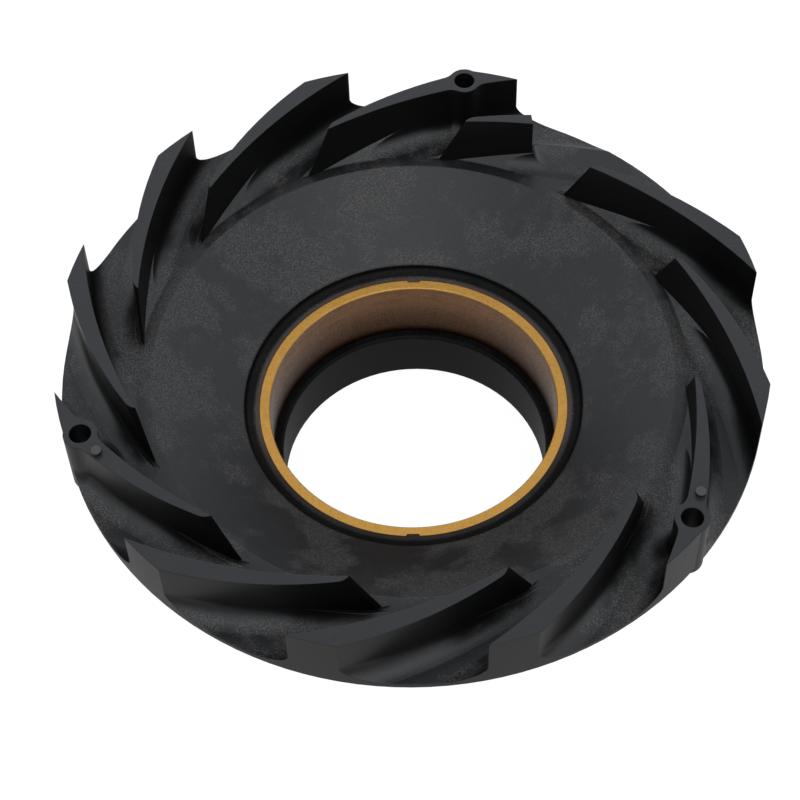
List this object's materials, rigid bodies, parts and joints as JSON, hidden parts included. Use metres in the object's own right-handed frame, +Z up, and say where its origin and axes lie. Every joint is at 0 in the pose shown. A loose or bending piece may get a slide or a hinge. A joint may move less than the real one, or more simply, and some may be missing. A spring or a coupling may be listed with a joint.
{
  "type": "pump guide vane",
  "caption": "Guide vane of a pool pump: a dished round moulding in black plastic with curved vanes round the impeller pocket and a bronze wear ring in the eye.",
  "frame": {"origin": "centre of the hub's foot, where the part stands", "axes": "+Z up the axis of the pump, the vanes on top and the hub below; +X towards the right of the picture, +Y away from its camera"},
  "size_m": [0.1904, 0.1904, 0.0727],
  "materials": {
    "body": "satin",
    "bronze": "satin"
  },
  "bodies": {
    "root": {"guide_vane": "body", "wear_ring": "bronze"}
  },
  "joints": []
}
